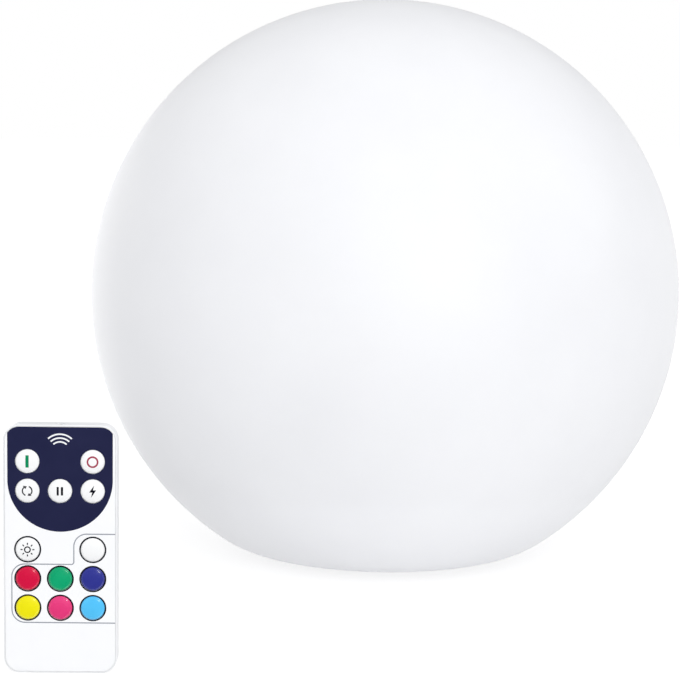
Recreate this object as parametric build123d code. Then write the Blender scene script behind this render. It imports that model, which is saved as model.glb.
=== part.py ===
from build123d import *
import os
from math import atan2, degrees, hypot, sqrt

# A rechargeable globe light and its hand remote, in millimetres.
# The origin is on the floor at the middle of the globe's foot, +Z is up, and the remote's face looks to -Y.

# Globe
globe_radius = 125.0
globe_wall = 3.0
edge_roll = 37.5  # rolled edge between the ball and its flat underside
foot_stand = 1.5  # underside above the floor
ledge_thickness = 3.5  # inner ledge that the base screws into
boss_radius = 3.8
boss_height = 8.0
boss_end = 1.5  # plastic left above a boss's pilot hole

# Base housing
flange_thickness = 3.0
base_wall = 2.0
cup_clearance = 0.5  # between the cup's wall and what it holds
opening_clearance = 0.7  # between the cup and the globe's opening
recess_clearance = 0.4  # between the flange and the globe's recess
flange_edge = 1.0  # flange outside the screw heads
flange_round = 0.8
seal_thickness = 1.0
seal_inset = 0.4
foot_groove = 1.0
foot_margin = 0.8
foot_round = 0.5
foot_clearance = 0.05  # each side of the foot ring in its groove

# Bay in the underside, with the button and the charging socket
bay_length = 44.0
bay_width = 17.0
bay_depth = 6.0
bay_offset = 20.0  # middle of the bay in front of the globe's axis
bay_inset = 1.5  # button and socket from the bay's end centres
bay_round = 1.0

# Base screws
base_screw_count = 4
base_screw_angle = 45.0
base_screw_radius = 1.5
base_head_radius = 2.8
base_head_height = 1.6
base_head_sink = 2.0
head_clearance = 0.4
cross_reach = 0.56  # cross recess and eased rim of a screw's head, as shares of its radius
cross_width = 0.3
head_round = 0.27
cross_depth = 0.6  # share of the head's height
screw_tip_gap = 2.0
thread_clearance = 0.05
shank_clearance = 0.2

# Power button and switch
button_radius = 5.5
button_sink = 1.5  # button's face above the underside
button_round = 0.8
button_travel = 1.2
button_stem_radius = 3.0
button_collar_radius = 4.0
button_collar_height = 0.8
button_gap = 0.3  # running gap around and behind the button
collar_gap = 0.2
stem_end = 0.2
boot_width = 1.7
boot_height = 2.0
boot_gap = 0.4
switch_size = 12.0
switch_height = 7.5
plunger_radius = 2.0
plunger_height = 1.4
plunger_gap = 0.1
rail_thickness = 1.5
rail_depth = 8.0
rail_lip = 1.5
switch_clearance = 0.1

# Charging socket and its cover
socket_flange_radius = 5.5
socket_flange = 1.5
socket_neck_radius = 4.0
socket_bore_radius = 2.8
socket_bore_depth = 9.5
socket_back = 4.5
socket_pin_radius = 1.0
socket_pin_sink = 2.4  # tip of the centre pin inside the mouth
solder_tab_width = 1.6
solder_tab_thickness = 0.5
solder_tab_height = 3.0
nut_sides = 6
nut_across = 11.0
nut_height = 2.2
fit_clearance = 0.1
cover_radius = 6.2
cover_thickness = 1.8
cover_gap = 0.1
cover_round = 0.5
cover_nose_radius = 2.2
cover_nose_length = 1.8
cover_arm_width = 5.0
cover_arm_thickness = 1.2
cover_tab = 2.0
hinge_radius = 1.0
hinge_reach = 8.0  # hinge from the socket's middle
hinge_gap = 0.2
anchor_half = 1.4
anchor_stud_radius = 1.2
anchor_head_radius = 2.0
anchor_head_height = 1.2

# Charging lamp
lens_radius = 1.7
lens_collar_radius = 2.6
lens_collar_height = 0.8
charge_led_radius = 1.5
charge_led_height = 4.5
led_leg_radius = 0.3
led_leg_length = 2.0

# Rechargeable cell and its holder
battery_radius = 9.2
battery_length = 65.0
battery_round = 0.8
cradle_floor = 1.5
cradle_wall = 1.5
cradle_clearance = 0.1
saddle_x = 14.0
saddle_width = 6.0
clip_thickness = 1.2
clip_width = 12.0
clip_room = 1.9  # clip to the bay's wall
hook_reach = 0.8
hook_height = 0.5
hook_clearance = 0.1
tab_thickness = 0.3
tab_width = 6.0
tab_rise = 1.5  # end tab above the cell

# Control board
control_board_width = 48.0
board_thickness = 1.6
board_margin_front = 3.0
board_margin_back = 3.5
board_margin_side = 4.0
board_gap = 2.0  # above the battery clip
board_notch = 0.5
board_post_radius = 2.2
lane_clearance = 0.1
board_screw_radius = 1.0
board_screw_length = 7.0
board_head_radius = 1.9
board_head_height = 1.2
component_room = 2.4  # above the tallest component
controller_size = (10.0, 6.0, 1.8)
controller_place = (-7.0, -1.0)  # from the board's middle
charger_size = (5.0, 4.0, 1.5)
charger_place = (6.5, -3.0)
coil_radius = 3.5
coil_height = 5.0
coil_place = (10.0, 4.0)
capacitor_radius = 3.0
capacitor_height = 8.0
capacitor_place = (-11.0, 8.0)
led_lead_count = 4
connector_width = 7.0
connector_depth = 5.5
connector_height = 6.0
connector_setback = 0.7
lead_radius = 0.6
lead_pitch = 2.54
lead_bend = 5.5

# Lamp board and diffuser
led_board_gap = 0.4
led_post_radius = 3.0
led_post_margin = 3.5
led_post_count = 3
led_post_angle = 90.0
led_screw_radius = 1.25
led_screw_length = 8.0
led_head_radius = 2.3
led_head_height = 1.4
rim_stand = 0.6  # cup's rim above the lamp board
spigot_clearance = 0.3
spigot_wall = 1.2
spigot_depth = 1.6
dome_wall = 1.6
dome_height = 20.0
chip_size = 5.0
chip_height = 1.4
chip_window_radius = 2.0
chip_window_sink = 0.3
colour_chip_count = 12
colour_chip_margin = 8.0  # outer ring of chips from the lamp board's edge
white_chip_count = 6
white_chip_circle = 13.0
receiver_width = 6.0
receiver_depth = 5.0
receiver_height = 7.0
receiver_lens_radius = 2.3
receiver_leg = 0.6
receiver_leg_length = 2.0

# Remote control
remote_x = -115.2
remote_front_y = -203.0
key_radius = 4.0
key_column_gap = 3.0
key_row_gap = 2.08
key_rows = 6
remote_side_margin = 4.25  # key to the case's side
remote_top_margin = 12.45  # first row below the case's top
remote_bottom_margin = 22.7
remote_corner = 5.5
remote_wall = 1.2
remote_back_wall = 0.85
remote_front_round = 0.35
remote_back_round = 1.5
film_inset = 0.6
film_sink = 0.05
film_thickness = 0.3
film_clearance = 0.1
front_plate = 1.05
front_shell_depth = 3.0
lip_thickness = 0.55
lip_height = 0.6
lip_clearance = 0.1
key_proud = 0.75
key_crown = 0.35
key_rim_round = 0.35
key_clearance = 0.15
key_flange_width = 0.6
key_flange_thickness = 0.45
key_travel = 0.4
key_seat_gap = 0.05
snap_dome_radius = 4.0
snap_dome_height = 0.35
remote_board_thickness = 0.8
remote_board_gap = 0.4
pillar_radius = 0.95
pillar_gap = 0.25
pillar_rows = (0.5, 2.5, 4.5)
emitter_radius = 1.5
emitter_length = 5.2
emitter_sink = 0.1  # tip inside the case's end
emitter_clearance = 0.1
remote_chip_length = 10.0
remote_chip_width = 6.0
remote_chip_height = 1.5
resonator_length = 7.0
resonator_width = 3.0

# Coin cell and its tray
coin_radius = 10.0
coin_thickness = 2.5
coin_cap_radius = 8.7
coin_cap_thickness = 0.5
coin_clearance = 0.2
coin_to_board = 0.4
tray_wall = 2.1
tray_floor = 0.25
tray_end_wall = 1.5
tray_sink = 0.3  # tray's end inside the case's end
tray_open = 2.0  # cell's top edge above the tray's inner end
tray_clearance = 0.25
tray_back_clearance = 0.1
tray_front_gap = 0.15
tray_grip_radius = 6.0
tray_groove = 0.6
tray_groove_pitch = 1.6
tray_groove_count = 3
rail_width = 1.0
contact_thickness = 0.2
contact_width = 3.0
contact_gap = 0.04
contact_foot = 4.0

# Heights in the lamp, from the floor up
underside = foot_stand
flange_top = underside + flange_thickness
ledge_bottom = flange_top + seal_thickness
ledge_top = ledge_bottom + ledge_thickness
bay_ceiling = underside + bay_depth
roof_top = bay_ceiling + base_wall
battery_z = flange_top + cradle_floor + cradle_clearance + battery_radius
clip_radius = battery_radius + cradle_clearance
clip_top = battery_z + clip_radius + clip_thickness
board_low = clip_top + board_gap
board_top = board_low + board_thickness
led_board_low = board_top + capacitor_height + component_room
led_board_top = led_board_low + board_thickness
cup_top = led_board_top + rim_stand
lead_z = board_top + connector_height / 2

# Plan of the lamp's base, from the middle outwards
bay_end_x = (bay_length - bay_width) / 2
bay_wall_y = -bay_offset + bay_width / 2 + base_wall
bay_reach = hypot(bay_end_x, bay_offset) + bay_width / 2
cradle_half = clip_radius + cradle_wall
clip_half = cradle_half + cradle_clearance + clip_thickness
front_lane = max(2 * (board_post_radius + lane_clearance), clip_room + clip_half - battery_radius)
battery_y = bay_wall_y + front_lane + battery_radius
board_post_front = bay_wall_y + board_post_radius + lane_clearance
board_post_back = battery_y + clip_half + board_post_radius
board_front = board_post_front - board_margin_front
board_back = board_post_back + board_margin_back
board_post_x = control_board_width / 2 - board_margin_side
battery_reach = hypot(battery_length / 2, battery_y + battery_radius)
board_reach = hypot(control_board_width / 2, board_back)
cup_inner_radius = max(battery_reach, board_reach, bay_reach + base_wall) + cup_clearance
cup_radius = cup_inner_radius + base_wall
opening_radius = cup_radius + opening_clearance
screw_circle = opening_radius + boss_radius
head_hole_radius = base_head_radius + head_clearance
flange_radius = screw_circle + head_hole_radius + flange_edge
recess_radius = flange_radius + recess_clearance
flat_radius = recess_radius + globe_wall
foot_inner = bay_reach + foot_margin
foot_outer = screw_circle - head_hole_radius - foot_margin
spigot_radius = cup_inner_radius - spigot_clearance
led_board_radius = spigot_radius - spigot_wall - led_board_gap
led_screw_circle = led_board_radius - led_post_margin
socket_x = bay_inset - bay_end_x
button_x = -socket_x
hinge_x = socket_x - hinge_reach
bay_y = -bay_offset

# Heights of the button, the socket and the cover
stem_top = roof_top + collar_gap + button_collar_height + stem_end
plunger_low = stem_top + button_travel + plunger_gap
switch_low = plunger_low + plunger_height
switch_top = switch_low + switch_height
socket_face = bay_ceiling - socket_flange
socket_top = socket_face + socket_bore_depth + socket_back
cover_high = socket_face - cover_gap
cover_low = cover_high - cover_thickness
hinge_z = cover_high - hinge_radius
lens_top = roof_top + lens_collar_height

# Sizes of the remote
key_column = 2 * key_radius + key_column_gap
key_row = 2 * key_radius + key_row_gap
remote_width = 2 * (key_column + key_radius + remote_side_margin)
remote_length = remote_top_margin + (key_rows - 1) * key_row + remote_bottom_margin
film_back = film_sink + film_thickness
plate_back = film_back + front_plate
key_flange_front = plate_back + key_seat_gap
key_flange_back = key_flange_front + key_flange_thickness
snap_dome_top = key_flange_back + key_travel + key_seat_gap
remote_board_front = snap_dome_top + snap_dome_height
remote_board_back = remote_board_front + remote_board_thickness
coin_front = remote_board_back + coin_to_board
coin_back = coin_front + coin_thickness
tray_front = remote_board_back + tray_front_gap
tray_back = coin_back + tray_floor
back_wall_front = tray_back + tray_back_clearance
remote_thickness = back_wall_front + remote_back_wall
pocket_radius = coin_radius + coin_clearance
coin_z = tray_sink + tray_end_wall + pocket_radius
tray_half = pocket_radius + tray_wall
tray_top = coin_z + coin_radius - tray_open
remote_inner_half = remote_width / 2 - remote_wall
remote_board_half = remote_inner_half - remote_board_gap
remote_board_low = remote_wall + remote_board_gap
emitter_tip = remote_length - emitter_sink
remote_board_high = emitter_tip - emitter_length
emitter_depth = remote_board_front + remote_board_thickness / 2
pillar_x = key_column + key_radius + key_flange_width + pillar_gap + pillar_radius

# Name of each key, with its column (-1, 0 or 1) and its row, counted down from the top
key_places = {
    "key_on": (-1, 0),
    "key_off": (1, 0),
    "key_cycle": (-1, 1),
    "key_pause": (0, 1),
    "key_flash": (1, 1),
    "key_dim": (-1, 3),
    "key_white": (1, 3),
    "key_red": (-1, 4),
    "key_green": (0, 4),
    "key_blue": (1, 4),
    "key_yellow": (-1, 5),
    "key_pink": (0, 5),
    "key_sky": (1, 5),
}


def drum(radius, z_from, z_to, x=0.0, y=0.0):
    """An upright round solid between two heights."""
    align = (Align.CENTER, Align.CENTER, Align.MIN)
    return Pos(x, y, min(z_from, z_to)) * Cylinder(radius, abs(z_to - z_from), align=align)


def ring(outer, inner, low, high, x=0.0, y=0.0):
    return drum(outer, low, high, x, y) - drum(inner, low, high, x, y)


def block(x_from, x_to, y_from, y_to, z_from, z_to):
    align = (Align.MIN, Align.MIN, Align.MIN)
    return Pos(x_from, y_from, z_from) * Box(x_to - x_from, y_to - y_from, z_to - z_from, align=align)


def turned(edges):
    """A solid turned about Z from a closed outline of radius and height."""
    return revolve(Plane.XZ * make_face(edges), Axis.Z)


def crown_arc(rim_radius, rim, top):
    """A shallow round crown from the axis out to its rim."""
    rise = top - rim
    sphere = (rim_radius**2 + rise**2) / (2 * abs(rise))
    drop = sphere - sqrt(sphere**2 - (rim_radius / 2) ** 2)
    middle = top - drop if rise > 0 else top + drop
    return ThreePointArc((0, top), (rim_radius / 2, middle), (rim_radius, rim))


def screws(where, seat, tip, head, shank_radius, head_radius):
    """Alike pan-head screws with cross recesses. Their seat, tip and head are heights."""
    pan = drum(head_radius, seat, head)
    rims = pan.edges().filter_by(GeomType.CIRCLE).sort_by(Axis.Z)
    pan = fillet(rims[-1] if head > seat else rims[0], head_round * head_radius)
    screw = drum(shank_radius, seat, tip) + pan
    reach = cross_reach * head_radius
    half = cross_width * head_radius / 2
    low, high = sorted((head, head + cross_depth * (seat - head)))
    screw -= block(-reach, reach, -half, half, low, high)
    screw -= block(-half, half, -reach, reach, low, high)
    return Compound([Pos(x, y, 0) * screw for x, y in where])


def lead(points):
    """An insulated wire along straight runs with round bends."""
    path = FilletPolyline(*points, radius=lead_bend)
    return sweep(Plane(path @ 0, z_dir=path % 0) * Circle(lead_radius), path=path)


def places(locations):
    """The X and Y of each location in a pattern."""
    return [(place.position.X, place.position.Y) for place in locations]


base_screws = places(PolarLocations(screw_circle, base_screw_count, base_screw_angle))
led_posts = places(PolarLocations(led_screw_circle, led_post_count, led_post_angle))
board_posts = [(side * board_post_x, y) for side in (-1, 1) for y in (board_post_front, board_post_back)]


def make_globe_shell():
    """A blow-moulded ball with a rolled flat underside and a recessed opening for the base."""
    roll_z = underside + edge_roll
    ball_z = roll_z + sqrt((globe_radius - edge_roll) ** 2 - flat_radius**2)
    meet = degrees(atan2(roll_z - ball_z, flat_radius))
    inner_radius = globe_radius - globe_wall
    inner_roll = edge_roll - globe_wall
    outline = [
        CenterArc((0, ball_z), globe_radius, meet, 90 - meet),
        CenterArc((flat_radius, roll_z), edge_roll, -90, meet + 90),
        Polyline(
            (flat_radius, underside),
            (recess_radius, underside),
            (recess_radius, ledge_bottom),
            (opening_radius, ledge_bottom),
            (opening_radius, ledge_top),
            (flat_radius, ledge_top),
            (flat_radius, underside + globe_wall),
        ),
        CenterArc((flat_radius, roll_z), inner_roll, -90, meet + 90),
        CenterArc((0, ball_z), inner_radius, meet, 90 - meet),
        Line((0, ball_z + inner_radius), (0, ball_z + globe_radius)),
    ]
    shell = turned(outline)
    pilot_top = ledge_top + boss_height - boss_end
    for x, y in base_screws:
        shell += drum(boss_radius, ledge_top, ledge_top + boss_height, x, y)
    shell -= drum(opening_radius, ledge_bottom, ledge_top + boss_height)
    for x, y in base_screws:
        shell -= drum(base_screw_radius + thread_clearance, ledge_bottom, pilot_top, x, y)
    return shell


def make_base_housing():
    """A moulded cup with a flange below, a bay in its underside and posts for the two boards."""
    flange = drum(flange_radius, underside, flange_top)
    flange = fillet(flange.edges().group_by(Axis.Z)[0], flange_round)
    housing = flange + ring(cup_radius, cup_inner_radius, flange_top, cup_top)
    bay_walls = SlotOverall(bay_length + 2 * base_wall, bay_width + 2 * base_wall)
    housing += extrude(Pos(0, bay_y, flange_top) * bay_walls, roof_top - flange_top)
    for x, y in led_posts:
        housing += drum(led_post_radius, flange_top, led_board_low, x, y)
    for x, y in board_posts:
        housing += drum(board_post_radius, flange_top, board_low, x, y)
    rail_inner = switch_size / 2 + switch_clearance
    rail_half = rail_depth / 2
    rail = block(rail_inner, rail_inner + rail_thickness, -rail_half, rail_half, roof_top, switch_top)
    rail += block(rail_inner - rail_lip, rail_inner, -rail_half, rail_half, roof_top, switch_low)
    housing += Pos(button_x, bay_y, 0) * rail
    housing += Pos(button_x, bay_y, 0) * mirror(rail, Plane.YZ)
    bay = extrude(Pos(0, bay_y, underside) * SlotOverall(bay_length, bay_width), bay_depth)
    housing -= bay
    rim = housing.faces().filter_by(Plane.XY).sort_by(Axis.Z)[0].inner_wires().sort_by(SortBy.LENGTH)[-1]
    housing = fillet(rim.edges(), bay_round)
    housing -= drum(button_stem_radius + button_gap, bay_ceiling, roof_top, button_x, bay_y)
    housing -= drum(socket_neck_radius + fit_clearance, bay_ceiling, roof_top, socket_x, bay_y)
    housing -= drum(lens_radius + fit_clearance, bay_ceiling, roof_top, 0, bay_y)
    housing -= drum(anchor_stud_radius + fit_clearance, bay_ceiling, roof_top, hinge_x, bay_y)
    groove_outer = foot_outer + foot_clearance
    groove_inner = foot_inner - foot_clearance
    housing -= ring(groove_outer, groove_inner, underside, underside + foot_groove)
    for x, y in base_screws:
        housing -= drum(base_screw_radius + shank_clearance, underside, flange_top, x, y)
        housing -= drum(head_hole_radius, underside, underside + base_head_sink, x, y)
    for x, y in led_posts:
        pilot = led_board_low - led_screw_length
        housing -= drum(led_screw_radius + thread_clearance, pilot, led_board_low, x, y)
    for x, y in board_posts:
        pilot = board_low - board_screw_length
        housing -= drum(board_screw_radius + thread_clearance, pilot, board_low, x, y)
    return housing


def make_base_seal():
    seal = ring(flange_radius - seal_inset, opening_radius + seal_inset, flange_top, ledge_bottom)
    for x, y in base_screws:
        seal -= drum(base_screw_radius + shank_clearance, flange_top, ledge_bottom, x, y)
    return seal


def make_base_screws():
    seat = underside + base_head_sink
    tip = ledge_top + boss_height - boss_end - screw_tip_gap
    head = seat - base_head_height
    return screws(base_screws, seat, tip, head, base_screw_radius, base_head_radius)


def make_foot_ring():
    foot = ring(foot_outer, foot_inner, 0, underside + foot_groove)
    return fillet(foot.edges().group_by(Axis.Z)[0], foot_round)


def make_power_button():
    low = underside + button_sink
    cap = drum(button_radius, low, bay_ceiling - button_travel - button_gap)
    cap = fillet(cap.edges().group_by(Axis.Z)[0], button_round)
    cap += drum(button_stem_radius, low + button_round, stem_top)
    collar_low = roof_top + collar_gap
    cap += drum(button_collar_radius, collar_low, collar_low + button_collar_height)
    return Pos(button_x, bay_y, 0) * cap


def make_button_boot():
    inner = button_radius + boot_gap
    boot = ring(inner + boot_width, inner, bay_ceiling - boot_height, bay_ceiling)
    boot = fillet(boot.edges().group_by(Axis.Z)[0], boot_width / 3)
    return Pos(button_x, bay_y, 0) * boot


def lead_places(x):
    """Where the two leads of a socket, switch or lamp stand."""
    return [x - lead_pitch / 2, x + lead_pitch / 2]


def solder_tabs(x, base):
    align = (Align.CENTER, Align.CENTER, Align.MIN)
    tab = Box(solder_tab_width, solder_tab_thickness, solder_tab_height, align=align)
    return [Pos(place, bay_y, base) * tab for place in lead_places(x)]


def make_power_switch():
    half = switch_size / 2
    body = block(button_x - half, button_x + half, bay_y - half, bay_y + half, switch_low, switch_top)
    body += drum(plunger_radius, plunger_low, switch_low, button_x, bay_y)
    return body + solder_tabs(button_x, switch_top)


def make_charge_socket():
    """A panel socket: flange below the bay's ceiling, threaded neck through it, centre pin in the bore."""
    body = drum(socket_flange_radius, socket_face, bay_ceiling)
    body += drum(socket_neck_radius, bay_ceiling, socket_top)
    bore_end = socket_face + socket_bore_depth
    body -= drum(socket_bore_radius, socket_face, bore_end)
    body += drum(socket_pin_radius, socket_face + socket_pin_sink, bore_end)
    return Pos(socket_x, bay_y, 0) * body + solder_tabs(socket_x, socket_top)


def make_socket_nut():
    flats = Rot(0, 0, 180 / nut_sides) * RegularPolygon(nut_across / 2, nut_sides, major_radius=False)
    nut = extrude(Pos(0, 0, roof_top) * flats, nut_height)
    nut -= drum(socket_neck_radius + thread_clearance, roof_top, roof_top + nut_height)
    return Pos(socket_x, bay_y, 0) * nut


def make_socket_cover():
    """A soft plug with a lifting tab and an arm that bends at the anchor."""
    head = drum(cover_radius, cover_low, cover_high, socket_x, bay_y)
    half = cover_arm_width / 2
    tab_end = socket_x + cover_radius + cover_tab
    head += block(socket_x, tab_end, bay_y - half, bay_y + half, cover_low, cover_low + cover_arm_thickness)
    head = fillet(head.edges().group_by(Axis.Z)[0], cover_round)
    arm_low = hinge_z - cover_arm_thickness / 2
    head += block(hinge_x, socket_x, bay_y - half, bay_y + half, arm_low, arm_low + cover_arm_thickness)
    barrel = Pos(hinge_x, bay_y, hinge_z) * Rot(90, 0, 0) * Cylinder(hinge_radius, cover_arm_width)
    head += barrel
    return head + drum(cover_nose_radius, cover_high, socket_face + cover_nose_length, socket_x, bay_y)


def make_cover_anchor():
    half = cover_arm_width / 2
    low = hinge_z + hinge_radius + hinge_gap
    pad = block(hinge_x - anchor_half, hinge_x + anchor_half, bay_y - half, bay_y + half, low, bay_ceiling)
    pad += drum(anchor_stud_radius, bay_ceiling, roof_top, hinge_x, bay_y)
    return pad + drum(anchor_head_radius, roof_top, roof_top + anchor_head_height, hinge_x, bay_y)


def make_charge_lens():
    lens = drum(lens_radius, bay_ceiling, roof_top, 0, bay_y)
    return lens + drum(lens_collar_radius, roof_top, lens_top, 0, bay_y)


def make_charge_led():
    body_top = lens_top + charge_led_height
    lamp = drum(charge_led_radius, lens_top, body_top, 0, bay_y)
    for x in (-charge_led_radius / 2, charge_led_radius / 2):
        lamp += drum(led_leg_radius, body_top, body_top + led_leg_length, x, bay_y)
    return lamp


def make_battery_cradle():
    """A floor plate with two saddles, undercut at both sides for the clip's hooks."""
    half_length = saddle_x + saddle_width / 2
    floor_top = flange_top + cradle_floor
    y_low = battery_y - cradle_half
    y_high = battery_y + cradle_half
    cradle = block(-half_length, half_length, y_low, y_high, flange_top, floor_top)
    for x in (-saddle_x, saddle_x):
        cradle += block(x - saddle_width / 2, x + saddle_width / 2, y_low, y_high, flange_top, battery_z)
    cell = Pos(0, battery_y, battery_z) * Rot(0, 90, 0) * Cylinder(clip_radius, battery_length)
    cradle -= cell
    slot_half = clip_width / 2 + hook_clearance
    slot_top = flange_top + hook_height + 2 * hook_clearance
    slot_depth = hook_reach + hook_clearance
    cradle -= block(-slot_half, slot_half, y_low, y_low + slot_depth, flange_top, slot_top)
    cradle -= block(-slot_half, slot_half, y_high - slot_depth, y_high, flange_top, slot_top)
    return cradle


def make_battery_cell():
    cell = Cylinder(battery_radius, battery_length)
    cell = fillet(cell.edges(), battery_round)
    return Pos(0, battery_y, battery_z) * Rot(0, 90, 0) * cell


def make_battery_clip():
    """A spring clip bent over the cell, with two legs that hook under the cradle."""
    inner = cradle_half + cradle_clearance
    foot = flange_top + hook_clearance
    hook_top = foot + hook_height
    bend = Pos(0, battery_z) * Circle(clip_half) - Pos(0, battery_z) * Circle(inner)
    bend -= Pos(0, battery_z - clip_half) * Rectangle(3 * clip_half, 2 * clip_half)
    outline = bend
    for side in (-1, 1):
        leg = Pos(side * (inner + clip_half) / 2, (foot + battery_z) / 2)
        outline += leg * Rectangle(clip_thickness, battery_z - foot)
        hook_middle = side * (inner - cradle_clearance - hook_reach + clip_half) / 2
        hook_length = clip_half - inner + cradle_clearance + hook_reach
        outline += Pos(hook_middle, (foot + hook_top) / 2) * Rectangle(hook_length, hook_height)
    band = extrude(Plane.YZ * outline, clip_width / 2, both=True)
    return Pos(0, battery_y, 0) * band


def make_battery_tabs():
    """Two nickel strips on the cell's ends, standing up to the leads."""
    start = battery_length / 2
    half = tab_width / 2
    top = battery_z + battery_radius + tab_rise
    tab = block(start, start + tab_thickness, battery_y - half, battery_y + half, battery_z, top)
    return Compound([tab, mirror(tab, Plane.YZ)])


def make_control_board():
    half = control_board_width / 2
    board = block(-half, half, board_front, board_back, board_low, board_top)
    for x, y in led_posts:
        board -= drum(led_post_radius + board_notch, board_low, board_top, x, y)
    for x, y in board_posts:
        board -= drum(board_screw_radius + shank_clearance, board_low, board_top, x, y)
    return board


def make_board_screws():
    tip = board_low - board_screw_length + screw_tip_gap
    head = board_top + board_head_height
    return screws(board_posts, board_top, tip, head, board_screw_radius, board_head_radius)


def make_control_components():
    """Controller, charger chip, coil and capacitor between the connectors."""
    middle = Pos(0, (board_front + board_back) / 2, board_top)
    align = (Align.CENTER, Align.CENTER, Align.MIN)
    controller = middle * Pos(*controller_place) * Box(*controller_size, align=align)
    charger = middle * Pos(*charger_place) * Box(*charger_size, align=align)
    coil = middle * Pos(*coil_place) * Cylinder(coil_radius, coil_height, align=align)
    capacitor = middle * Pos(*capacitor_place) * Cylinder(capacitor_radius, capacitor_height, align=align)
    return Compound([controller, charger, coil, capacitor])


connector_front = board_front + connector_setback
connector_side = control_board_width / 2 - connector_setback
led_plug_y = board_back - board_margin_back


def make_wire_connectors():
    top = board_top + connector_height
    half = connector_width / 2
    plugs = []
    for x in (socket_x, 0, button_x):
        back = connector_front + connector_depth
        plugs.append(block(x - half, x + half, connector_front, back, board_top, top))
    side_plug = block(
        connector_side - connector_depth, connector_side, battery_y - half, battery_y + half, board_top, top
    )
    plugs += [side_plug, mirror(side_plug, Plane.YZ)]
    wide = led_lead_count * lead_pitch / 2 + lead_radius
    plugs.append(block(-wide, wide, led_plug_y - half, led_plug_y + half, board_top, top))
    return Compound(plugs)


def make_battery_lead(side):
    x = battery_length / 2 + tab_thickness / 2
    start = battery_z + battery_radius + tab_rise
    points = [(x, battery_y, start), (x, battery_y, lead_z), (connector_side, battery_y, lead_z)]
    return lead([(side * px, py, pz) for px, py, pz in points])


def make_lead_pair(xs, start):
    """Two leads that rise from a socket, switch or lamp and turn back to their connector."""
    return Compound([lead([(x, bay_y, start), (x, bay_y, lead_z), (x, connector_front, lead_z)]) for x in xs])


def make_led_leads():
    top = board_top + connector_height
    xs = [(place - (led_lead_count - 1) / 2) * lead_pitch for place in range(led_lead_count)]
    return Compound([drum(lead_radius, top, led_board_low, x, led_plug_y) for x in xs])


def make_led_board():
    board = drum(led_board_radius, led_board_low, led_board_top)
    for x, y in led_posts:
        board -= drum(led_screw_radius + shank_clearance, led_board_low, led_board_top, x, y)
    return board


def make_led_board_screws():
    tip = led_board_low - led_screw_length + screw_tip_gap
    head = led_board_top + led_head_height
    return screws(led_posts, led_board_top, tip, head, led_screw_radius, led_head_radius)


def make_chips(circle, count):
    """Lamp chips in a ring, each with a round window in its top."""
    half = chip_size / 2
    top = led_board_top + chip_height
    chip = block(-half, half, -half, half, led_board_top, top)
    chip -= drum(chip_window_radius, top - chip_window_sink, top)
    return Compound([place * chip for place in PolarLocations(circle, count, 180 / count)])


def make_ir_receiver():
    half_width = receiver_width / 2
    half_depth = receiver_depth / 2
    low = led_board_top + receiver_leg_length
    top = low + receiver_height
    body = block(-half_width, half_width, -half_depth, half_depth, low, top)
    body += Pos(0, 0, top) * Sphere(receiver_lens_radius)
    half_leg = receiver_leg / 2
    for x in (-lead_pitch, 0, lead_pitch):
        body += block(x - half_leg, x + half_leg, -half_leg, half_leg, led_board_top, low)
    return body


def make_diffuser_dome():
    """A thin opal dome that stands on the cup's rim, centred by a spigot."""
    inner = spigot_radius - spigot_wall
    rim = cup_top + dome_wall
    top = cup_top + dome_height
    outline = [
        crown_arc(cup_radius, rim, top),
        Polyline(
            (cup_radius, rim),
            (cup_radius, cup_top),
            (spigot_radius, cup_top),
            (spigot_radius, cup_top - spigot_depth),
            (inner, cup_top - spigot_depth),
            (inner, rim),
        ),
        crown_arc(inner, rim, top - dome_wall),
        Line((0, top - dome_wall), (0, top)),
    ]
    return turned(outline)


def slab(sketch, front, back):
    """A plate of the remote: a sketch in its face, between two depths behind its front."""
    return extrude(Plane.XZ.offset(-front) * sketch, front - back)


def spun(edges):
    """A solid turned about the remote's depth axis from an outline of radius and depth."""
    return revolve(make_face(edges), Axis.Y)


def case_outline(inset):
    """The remote's rounded outline, drawn in by an inset."""
    width = remote_width - 2 * inset
    length = remote_length - 2 * inset
    return Pos(0, remote_length / 2) * RectangleRounded(width, length, remote_corner - inset)


def bar(half_width, low, high, x=0.0):
    """A rectangle in the remote's face between two heights."""
    return Pos(x, (low + high) / 2) * Rectangle(2 * half_width, high - low)


def key_place(name):
    column, row = key_places[name]
    return column * key_column, remote_length - remote_top_margin - row * key_row


def on_remote(shape):
    return Pos(remote_x, remote_front_y, 0) * shape


pillar_heights = [remote_length - remote_top_margin - row * key_row for row in pillar_rows]
pillars = [(side * pillar_x, z) for side in (-1, 1) for z in pillar_heights]


def emitter_hole():
    above = remote_length + remote_wall
    return drum(emitter_radius + emitter_clearance, remote_board_high, above, 0, emitter_depth)


def make_front_shell():
    """The front half of the case: a holed plate with a recess for the film and pillars for the board."""
    shell = slab(case_outline(0), 0, front_shell_depth)
    shell = fillet(shell.faces().sort_by(Axis.Y)[0].edges(), remote_front_round)
    shell -= slab(case_outline(film_inset - film_clearance), 0, film_back)
    shell -= slab(case_outline(remote_wall), plate_back, front_shell_depth)
    rebate_front = front_shell_depth - lip_height - lip_clearance
    rebate = remote_wall - lip_thickness - lip_clearance
    shell -= slab(case_outline(rebate), rebate_front, front_shell_depth)
    for x, z in pillars:
        shell += slab(Pos(x, z) * Circle(pillar_radius), plate_back, remote_board_front)
    for name in key_places:
        shell -= slab(Pos(*key_place(name)) * Circle(key_radius + key_clearance), film_back, plate_back)
    return on_remote(shell - emitter_hole())


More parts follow.
